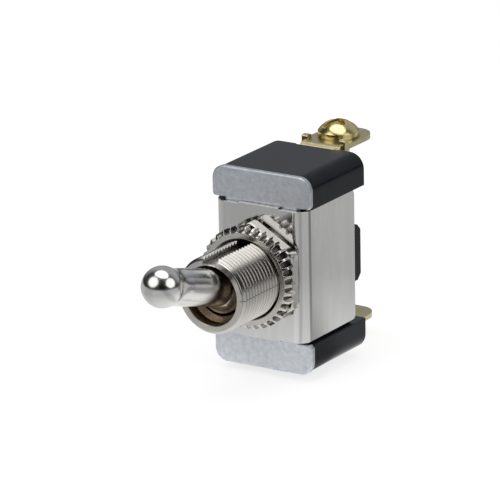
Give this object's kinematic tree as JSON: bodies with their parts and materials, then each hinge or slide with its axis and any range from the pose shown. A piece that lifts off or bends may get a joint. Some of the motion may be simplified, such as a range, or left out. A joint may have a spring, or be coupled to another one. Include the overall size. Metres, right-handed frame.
{
  "type": "panel toggle switch",
  "caption": "Heavy-duty panel toggle switch with a bat lever, threaded bushing with nuts, clamped moulded case and screw terminals.",
  "frame": {"origin": "on the bushing's axis, in the plane of the yoke's front face, which is the mounting face", "axes": "-Y along the bushing, out of the panel; +Z along the case towards the lever's rest side; +X to the right seen from the front"},
  "size_m": [0.0174, 0.0581, 0.0346],
  "materials": {
    "nickel_plated_brass": "bright nickel plate on brass",
    "chrome_lever": "polished chrome plate",
    "steel_pin": "plain steel",
    "nylon": "natural nylon, satin",
    "spring_steel": "drawn spring wire",
    "plated_sheet": "nickel-plated steel sheet, satin",
    "zinc_sheet": "zinc-plated steel sheet, cool and slightly mottled",
    "phenolic": "moulded phenolic, glossy",
    "fibre": "vulcanised fibre sheet",
    "contact_brass": "stamped brass, satin",
    "silver": "silver alloy, satin",
    "terminal_brass": "stamped brass, dull olive tone",
    "screw_brass": "bright brass",
    "washer_steel": "plated spring steel",
    "nut_nickel": "bright nickel plate"
  },
  "bodies": {
    "housing": {"bushing": "nickel_plated_brass", "clamp_yoke": "plated_sheet", "mounting_plate": "zinc_sheet", "case": "phenolic", "insulator_sheet": "fibre", "rocker_pin": "steel_pin", "common_terminal": "terminal_brass", "common_rivet": "terminal_brass", "common_screw": "screw_brass", "fixed_terminal": "terminal_brass", "drive_pin": "steel_pin", "fixed_contact": "silver", "fixed_screw": "screw_brass", "lock_washer": "washer_steel", "hex_nut": "nut_nickel", "face_nut": "nut_nickel"},
    "lever": {"lever": "chrome_lever", "pivot_pin": "steel_pin", "plunger_spring": "spring_steel"},
    "plunger": {"plunger": "nylon"},
    "rocker": {"rocker_arm": "contact_brass", "rocker_contact": "silver"}
  },
  "joints": [
    {"name": "lever_hinge", "type": "hinge", "parent": "housing", "child": "lever", "pos_m": [0, -0.0089, 0], "axis": [1, 0, 0], "range_deg": [0, 32]},
    {"name": "plunger_slide", "type": "slide", "parent": "lever", "child": "plunger", "axis": [0, -0.9613, 0.2756], "range_m": [0, 0.0008], "stiffness_N_per_m": 800, "springref_m": -0.002, "deforming": ["plunger_spring"]},
    {"name": "rocker_hinge", "type": "hinge", "parent": "housing", "child": "rocker", "pos_m": [0, 0.0084, 0], "axis": [1, 0, 0], "range_deg": [-17.6, 0]}
  ],
  "couplings": [
    {"joint": "rocker_hinge", "follows": "lever_hinge", "ratio": -0.55}
  ]
}
